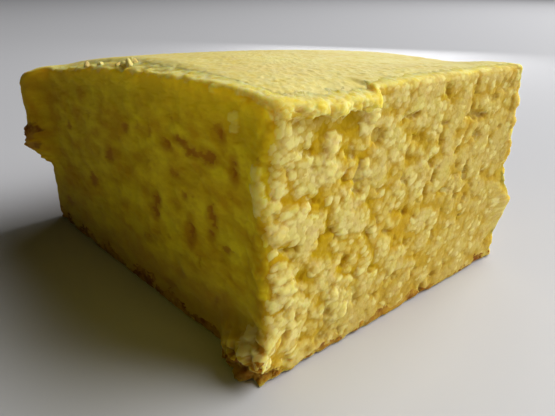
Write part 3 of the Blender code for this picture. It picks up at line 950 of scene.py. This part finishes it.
def node(tree, kind, settings=None, **values):
    """A node with its settings and its inputs."""
    made = tree.nodes.new("ShaderNode" + kind)
    for key, value in (settings or {}).items():
        setattr(made, key, value)
    return fill_inputs(tree, made, values)


def place_group(tree, group, **values):
    """A group node with its inputs."""
    made = tree.nodes.new("ShaderNodeGroup")
    made.node_tree = group
    return fill_inputs(tree, made, values)


def maths(tree, operation, *values, clamp=False):
    """The output of one Math node."""
    inputs = {f"i{k}": value for k, value in enumerate(values)}
    return node(tree, "Math", {"operation": operation, "use_clamp": clamp}, **inputs).outputs[0]


def mix_colours(tree, share, first, second, blend="MIX"):
    return node(tree, "Mix", {"data_type": "RGBA", "blend_type": blend}, i0=share, i6=first, i7=second).outputs[2]


def stretch(tree, value, low, high):
    """A smooth step from low to high."""
    return node(tree, "MapRange", {"interpolation_type": "SMOOTHSTEP"}, Value=value,
                From_Min=low, From_Max=high).outputs[0]


def attribute(tree, name):
    return node(tree, "Attribute", {"attribute_name": name}).outputs["Fac"]


# %% [markdown]
# Crumb is never one yellow: it drifts between two tones over a few millimetres. This group mixes two colours by
# noise. A Color Ramp could do it, but its colours can't be inputs, and here every finish brings its own.

# %% Group: patches of two colours
def make_patches():
    """Two colours mixed by noise: share = noise stretched round one half by the contrast."""
    group, given, out = new_group(
        "colour patches",
        (("Colour", "Color", (1, 1, 1, 1)), ("Other Colour", "Color", (1, 1, 1, 1)),
         ("Size in mm", "Float", 5.0), ("Contrast", "Float", 2.0), ("Share", "Float", 0.5),
         ("Stretch", "Vector", (1.0, 1.0, 1.0))),
        (("Colour", "Color"),))
    place = node(group, "VectorMath", {"operation": "MULTIPLY"}, i0=node(group, "TexCoord").outputs["Object"],
                 i1=given.outputs["Stretch"]).outputs[0]
    scale = maths(group, "DIVIDE", 1000.0, given.outputs["Size in mm"])
    cloud = node(group, "TexNoise", Vector=place, Scale=scale, Detail=3.0, Roughness=0.55).outputs[0]
    mask = maths(group, "MULTIPLY_ADD", maths(group, "SUBTRACT", cloud, 0.5), given.outputs["Contrast"],
                 given.outputs["Share"], clamp=True)
    group.links.new(mix_colours(group, mask, given.outputs["Colour"], given.outputs["Other Colour"]),
                    out.inputs["Colour"])
    return group


patches = make_patches()
print("nodes in the patches:", len(patches.nodes))

# %% [markdown]
# Crust browns in blotches and has a ragged border. This group covers a colour with two browns where a mask is
# high. Fine noise is added to the mask first, so a smooth mask still gets a crumbly border.

# %% Group: browning
def make_browning():
    """Covers a colour with brown where the mask plus fine noise passes one half, darker in blotches."""
    group, given, out = new_group(
        "browning",
        (("Colour", "Color", (1, 1, 1, 1)), ("Light Brown", "Color", (1, 1, 1, 1)),
         ("Dark Brown", "Color", (1, 1, 1, 1)), ("Mask", "Float", 0.0)),
        (("Colour", "Color"),))
    place = node(group, "TexCoord").outputs["Object"]
    speckle = node(group, "TexNoise", Vector=place, Scale=900.0, Detail=3.0, Roughness=0.6).outputs[0]
    blotch = node(group, "TexNoise", Vector=place, Scale=260.0, Detail=3.0, Roughness=0.6).outputs[0]
    edge = maths(group, "MULTIPLY_ADD", speckle, 0.5, -0.25)
    cover = stretch(group, maths(group, "ADD", given.outputs["Mask"], edge), 0.25, 0.7)
    brown = mix_colours(group, stretch(group, blotch, 0.35, 0.68), given.outputs["Light Brown"],
                        given.outputs["Dark Brown"])
    group.links.new(mix_colours(group, cover, given.outputs["Colour"], brown), out.inputs["Colour"])
    return group


browning = make_browning()
print("nodes in the browning:", len(browning.nodes))

# %% [markdown]
# Single grains of cornmeal are finer than the mesh, so the last tenth of a millimetre is a bump. Voronoi cells
# give the round grains, and noise breaks them up.

# %% Group: cornmeal bumps
def make_meal():
    """Bumps of ground corn: the height is fine noise minus the distance to the middle of a rounded cell."""
    group, given, out = new_group(
        "cornmeal bumps",
        (("Grain in mm", "Float", 0.6), ("Normal Strength", "Float", 0.5), ("Height in mm", "Float", 0.15)),
        (("Normal", "Vector"),))
    place = node(group, "TexCoord").outputs["Object"]
    scale = maths(group, "DIVIDE", 1000.0, given.outputs["Grain in mm"])
    cells = node(group, "TexVoronoi", {"feature": "SMOOTH_F1"}, Vector=place, Scale=scale).outputs["Distance"]
    fine = node(group, "TexNoise", Vector=place, Scale=scale, Detail=4.0, Roughness=0.6).outputs[0]
    height = maths(group, "SUBTRACT", fine, cells)
    distance = maths(group, "MULTIPLY", given.outputs["Height in mm"], 0.001)
    bump = node(group, "Bump", Height=height, Distance=distance, Strength=given.outputs["Normal Strength"])
    group.links.new(bump.outputs[0], out.inputs["Normal"])
    return group


meal_bumps = make_meal()
print("nodes in the cornmeal bumps:", len(meal_bumps.nodes))

# %% [markdown]
# Light goes a millimetre or two into bread and comes out yellower, so each finish has some subsurface scattering,
# with the red part going furthest and the blue part hardly at all. The amber in the holes comes partly from that
# and partly from painted shade.

# %% A new finish
def new_finish(name, roughness, subsurface, reach):
    """A material with a Principled shader: plain numbers on its sockets, ready for a colour link."""
    material = bpy.data.materials.new(name)
    material.use_nodes = True
    shader = material.node_tree.nodes["Principled BSDF"]
    shader.inputs["Roughness"].default_value = roughness
    shader.inputs["Specular IOR Level"].default_value = 0.08
    shader.inputs["Subsurface Weight"].default_value = subsurface
    shader.inputs["Subsurface Radius"].default_value = (1.0, 0.75, 0.25)
    shader.inputs["Subsurface Scale"].default_value = reach
    return material, material.node_tree, shader


def finish_with(tree, shader, colour, **bumps):
    """Links a colour and the cornmeal bumps to the shader."""
    tree.links.new(colour, shader.inputs["Base Color"])
    tree.links.new(place_group(tree, meal_bumps, **bumps).outputs["Normal"], shader.inputs["Normal"])


# %% [markdown]
# The colours go from cream on the raised granules to amber painted shade in the hollows. The clean cut side is a
# deeper, more saturated gold, partly for its smoother cut and partly as painted shade of a side that the key light
# never reaches. The crust has three pale yellows, and each baked side has two browns.

# %% Colours
RIDGE_YELLOW = (0.66, 0.545, 0.115, 1)
RIDGE_CREAM = (0.70, 0.53, 0.195, 1)
PALE_CREAM = (0.80, 0.71, 0.26, 1)
GRAIN_TAN = (0.57, 0.42, 0.115, 1)
# Painted shade: the two hollow colours, the cut colours in part and the deepest cut colour. Painted light: the
# brightest cut colour.
HOLLOW_SHADE_AMBER = (0.56, 0.33, 0.005, 1)
HOLLOW_SHADE_OLIVE = (0.53, 0.33, 0.005, 1)
CUT_GOLD_AND_SHADE = (0.82, 0.64, 0.018, 1)
CUT_TAN_AND_SHADE = (0.58, 0.34, 0.008, 1)
CUT_PAINTED_LIGHT = (0.90, 0.66, 0.020, 1)
CUT_HOLLOW_SHADE = (0.44, 0.27, 0.005, 1)
# A reddish tone, also used as painted shade in the holes of the cut side.
RUST_AND_HOLE_SHADE = (0.36, 0.13, 0.008, 1)
LOW_TAN = (0.47, 0.302, 0.050, 1)
PAN_GOLD = (0.42, 0.19, 0.045, 1)
PAN_BROWN = (0.17, 0.055, 0.014, 1)
BASE_TAN = (0.45, 0.24, 0.025, 1)
BASE_BROWN = (0.19, 0.058, 0.008, 1)
CRUST_YELLOW = (0.82, 0.68, 0.17, 1)
CRUST_GOLDEN = (0.76, 0.56, 0.06, 1)
CRUST_CREAM = (0.87, 0.77, 0.31, 1)
CRUST_TAN = (0.80, 0.60, 0.20, 1)
CRUST_GOLD = (0.62, 0.38, 0.10, 1)

# %% [markdown]
# The crumb finish starts with the tone of each granule and covers it with one more colour for each value that
# is stored on the points: painted shade in the hollows, the cut side with its partly painted shade and a painted
# light along its top, rust with painted shade in and round the holes, tan, pale flakes that are partly painted
# light, and last the crusts. Painting all this by hand would take days, and it would have to be done again after
# each change of the shape.

# %% Finish: crumb
crumb_finish, tree, shader = new_finish("crumb", 0.85, 1.0, 0.0038)
ridge = place_group(tree, patches, Colour=RIDGE_YELLOW, Other_Colour=RIDGE_CREAM, Size_in_mm=3.0, Contrast=2.6)
grain = attribute(tree, "grain")
own_tone = mix_colours(tree, stretch(tree, grain, 0.0, 0.6), GRAIN_TAN, ridge.outputs["Colour"])
own_tone = mix_colours(tree, maths(tree, "MULTIPLY", stretch(tree, grain, 0.6, 1.0), 0.5), own_tone, PALE_CREAM)
# Painted shade: amber in the hollows and creases.
hollow_shade_tone = place_group(tree, patches, Colour=HOLLOW_SHADE_AMBER, Other_Colour=HOLLOW_SHADE_OLIVE, Size_in_mm=9.0, Contrast=3.0)
colour = mix_colours(tree, attribute(tree, "hollow_shade"), own_tone, hollow_shade_tone.outputs["Colour"])
# The cut side: a saturated gold that is partly painted shade, since no key light reaches that side.
cut_and_shade = place_group(tree, patches, Colour=CUT_GOLD_AND_SHADE, Other_Colour=CUT_TAN_AND_SHADE, Size_in_mm=3.6, Contrast=3.4,
                  Stretch=(1.0, 0.5, 1.0))
# Painted light along the top band of the cut side.
cut_and_shade = mix_colours(tree, attribute(tree, "painted_top_light"), cut_and_shade.outputs["Colour"], CUT_PAINTED_LIGHT)
# Painted shade in the hollows of the cut side.
cut_and_shade = mix_colours(tree, maths(tree, "MULTIPLY", attribute(tree, "hollow_shade"), 0.3), cut_and_shade, CUT_HOLLOW_SHADE)
colour = mix_colours(tree, attribute(tree, "cut_and_shade"), colour, cut_and_shade)
# Reddish clouds, with painted shade in and round the holes of the cut side.
colour = mix_colours(tree, maths(tree, "MULTIPLY", attribute(tree, "rust_and_hole_shade"), 0.9), colour, RUST_AND_HOLE_SHADE)
colour = mix_colours(tree, maths(tree, "MULTIPLY", attribute(tree, "low"), 0.65), colour, LOW_TAN)
# Pale flakes, partly painted light where they stand out.
colour = mix_colours(tree, attribute(tree, "pale"), colour, PALE_CREAM)
crust = place_group(tree, patches, Colour=CRUST_GOLDEN, Other_Colour=PALE_CREAM, Size_in_mm=1.8, Contrast=3.6)
crust = mix_colours(tree, stretch(tree, grain, 0.0, 0.5), CRUST_GOLDEN, crust.outputs["Colour"])
colour = mix_colours(tree, attribute(tree, "crust"), colour, crust)
colour = place_group(tree, browning, Colour=colour, Light_Brown=PAN_GOLD, Dark_Brown=PAN_BROWN,
                     Mask=attribute(tree, "skin")).outputs["Colour"]
colour = place_group(tree, browning, Colour=colour, Light_Brown=BASE_TAN, Dark_Brown=BASE_BROWN,
                     Mask=attribute(tree, "toast")).outputs["Colour"]
finish_with(tree, shader, colour, Grain_in_mm=0.5, Normal_Strength=0.35, Height_in_mm=0.10)
crumb_near.data.materials.append(crumb_finish)
crumb_far.data.materials.append(crumb_finish)
print("nodes in the crumb finish:", len(tree.nodes))

# %% [markdown]
# The top crust is pale, with golden and cream grains in it and a tan haze. Towards the pan side it is browned.
# It lets far less light in than the crumb, because it is dry and dense.

# %% Finish: top crust
top_finish, tree, shader = new_finish("top crust", 0.6, 0.25, 0.0008)
pale = place_group(tree, patches, Colour=CRUST_YELLOW, Other_Colour=CRUST_CREAM, Size_in_mm=2.5, Contrast=2.6)
hazy = place_group(tree, patches, Colour=pale.outputs["Colour"], Other_Colour=CRUST_TAN, Size_in_mm=14.0,
                   Contrast=2.0, Share=0.18)
grain = attribute(tree, "grain")
grained = mix_colours(tree, maths(tree, "MULTIPLY", stretch(tree, grain, 0.4, 0.0), 0.45), hazy.outputs["Colour"],
                      CRUST_GOLDEN)
grained = mix_colours(tree, maths(tree, "MULTIPLY", stretch(tree, grain, 0.8, 0.95), 0.6), grained, CRUST_CREAM)
colour = place_group(tree, browning, Colour=grained, Light_Brown=CRUST_TAN, Dark_Brown=CRUST_GOLD,
                     Mask=attribute(tree, "skin")).outputs["Colour"]
finish_with(tree, shader, colour, Grain_in_mm=0.7, Normal_Strength=0.25, Height_in_mm=0.15)
top_crust.data.materials.append(top_finish)
print("nodes in the top finish:", len(tree.nodes))

# %% [markdown]
# The bottom crust fried in the fat of the pan, so it is mottled tan and brown, with coarser bumps.

# %% Finish: bottom crust
base_finish, tree, shader = new_finish("bottom crust", 0.8, 0.1, 0.0008)
mottled = place_group(tree, patches, Colour=BASE_TAN, Other_Colour=BASE_BROWN, Size_in_mm=4.0, Contrast=3.2)
finish_with(tree, shader, mottled.outputs["Colour"], Grain_in_mm=0.5, Normal_Strength=0.6, Height_in_mm=0.14)
bottom_crust.data.materials.append(base_finish)
print("nodes in the bottom finish:", len(tree.nodes))

# %% [markdown]
# The clinging crumbs have the pale tones of the crumb. Each keeps one tone of its own. They are so small that
# far-reaching light would pass right through them and leave them grey, so the reach is short here.

# %% Finish: clinging crumbs
loose_finish, tree, shader = new_finish("clinging crumbs", 0.85, 0.4, 0.0007)
colour = mix_colours(tree, stretch(tree, attribute(tree, "grain"), 0.3, 0.95), RIDGE_CREAM, PALE_CREAM)
finish_with(tree, shader, colour, Grain_in_mm=0.5, Normal_Strength=0.35, Height_in_mm=0.10)
clinging.data.materials.append(loose_finish)
print("nodes in the finish of the crumbs:", len(tree.nodes))

# %% [markdown]
# ## Attach the pieces to the frame
# All pieces ride on the one body and together stand for the one solid of the imported model.

# %% Riding and replacing
pieces = (crumb_near, crumb_far, top_crust, bottom_crust, clinging)
for piece in pieces:
    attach(piece, "root")
    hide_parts("cornbread")
print("pieces:", [piece.name for piece in pieces])

# %% [markdown]
# ## Floor, light and camera
# The floor is plain and pale, and so wide that its far edge looks like a horizon.

# %% Floor
def make_floor():
    """A square plate at height 0, 6 m to each side."""
    half = 6.0
    corners = [(-half, -half, 0), (half, -half, 0), (half, half, 0), (-half, half, 0)]
    mesh = bpy.data.meshes.new("floor")
    mesh.from_pydata(corners, [], [(0, 1, 2, 3)])
    floor = bpy.data.objects.new("floor", mesh)
    bpy.context.scene.collection.objects.link(floor)
    material = bpy.data.materials.new("floor")
    material.use_nodes = True
    shader = material.node_tree.nodes["Principled BSDF"]
    shader.inputs["Base Color"].default_value = (0.61, 0.61, 0.63, 1)
    shader.inputs["Roughness"].default_value = 0.5
    mesh.materials.append(material)
    return floor


floor = make_floor()
print("floor faces:", len(floor.data.polygons))

# %% [markdown]
# One large soft light stands high on the right. Three cards only fill: a low wide one in front, a small one
# behind the right side, and a very weak warm one close to the cut left side, which the key light never reaches.
# A studio props such cards up round a plate. The world adds a little warm haze.

# %% Lights
def soft_light(name, place, target, size, power, colour):
    """An area light at a place in metres, turned towards a target, with a width and a height."""
    data = bpy.data.lights.new(name, "AREA")
    data.shape = "RECTANGLE"
    data.size, data.size_y = size
    data.energy = power
    data.color = colour
    light = bpy.data.objects.new(name, data)
    bpy.context.scene.collection.objects.link(light)
    light.location = place
    light.rotation_mode = "QUATERNION"
    light.rotation_quaternion = (Vector(target) - Vector(place)).to_track_quat("-Z", "Y")
    light.visible_camera = False
    return light


soft_light("key", (1.44, -0.60, 1.40), (0.0, 0.0, 0.02), (2.3, 1.6), 69.0, (1.0, 1.0, 1.0))
soft_light("front card", (0.14, -0.98, 0.06), (0.0, 0.0, 0.03), (0.9, 0.09), 2.3, (1.0, 1.0, 1.0))
soft_light("back card", (0.36, 0.26, 0.10), (0.04, 0.0, 0.03), (0.20, 0.10), 0.30, (1.0, 1.0, 0.98))
soft_light("warm card", (-0.080, -0.042, 0.060), (-0.037, -0.038, 0.046), (0.05, 0.03), 0.0034, (1.0, 0.90, 0.14))

print("lights:", len(bpy.data.lights))

world = bpy.data.worlds.new("studio")
bpy.context.scene.world = world
world.use_nodes = True
world.node_tree.nodes["Background"].inputs["Color"].default_value = (1.0, 0.86, 0.40, 1)
world.node_tree.nodes["Background"].inputs["Strength"].default_value = 0.005
bpy.context.scene.view_settings.view_transform = "Standard"

# %% [markdown]
# The camera is close to the near edge and a little above the top, as for a piece on a plate in front of you. So
# close, the perspective is strong: the near edge looks much taller than the far ones. Its place is given from
# the near corner in mm, and its direction by three angles.

# %% Camera
LENS, SENSOR = 35.88, 36.0
YAW, PITCH, ROLL = (np.radians(angle) for angle in (41.86, 22.70, 0.99))
FROM_CORNER = np.array([-51.16, -58.30, 65.49])


def make_camera():
    """Looks along (sin yaw cos pitch, cos yaw cos pitch, -sin pitch), turned about that line by the roll."""
    ahead = np.array([np.sin(YAW) * np.cos(PITCH), np.cos(YAW) * np.cos(PITCH), -np.sin(PITCH)])
    level = np.array([np.cos(YAW), -np.sin(YAW), 0.0])
    above = np.cross(level, ahead)
    right = np.cos(ROLL) * level + np.sin(ROLL) * above
    up = -np.sin(ROLL) * level + np.cos(ROLL) * above
    data = bpy.data.cameras.new("camera")
    data.lens, data.sensor_width, data.sensor_fit = LENS, SENSOR, "HORIZONTAL"
    data.clip_start, data.clip_end = 0.005, 20.0
    camera = bpy.data.objects.new("camera", data)
    bpy.context.scene.collection.objects.link(camera)
    place = np.eye(4)
    place[:3, 0], place[:3, 1], place[:3, 2] = right, up, -ahead
    place[:3, 3] = in_frame(FROM_CORNER)
    camera.matrix_world = Matrix(place.tolist())
    bpy.context.scene.camera = camera
    return camera


print("camera at", [round(value, 3) for value in make_camera().matrix_world.translation])
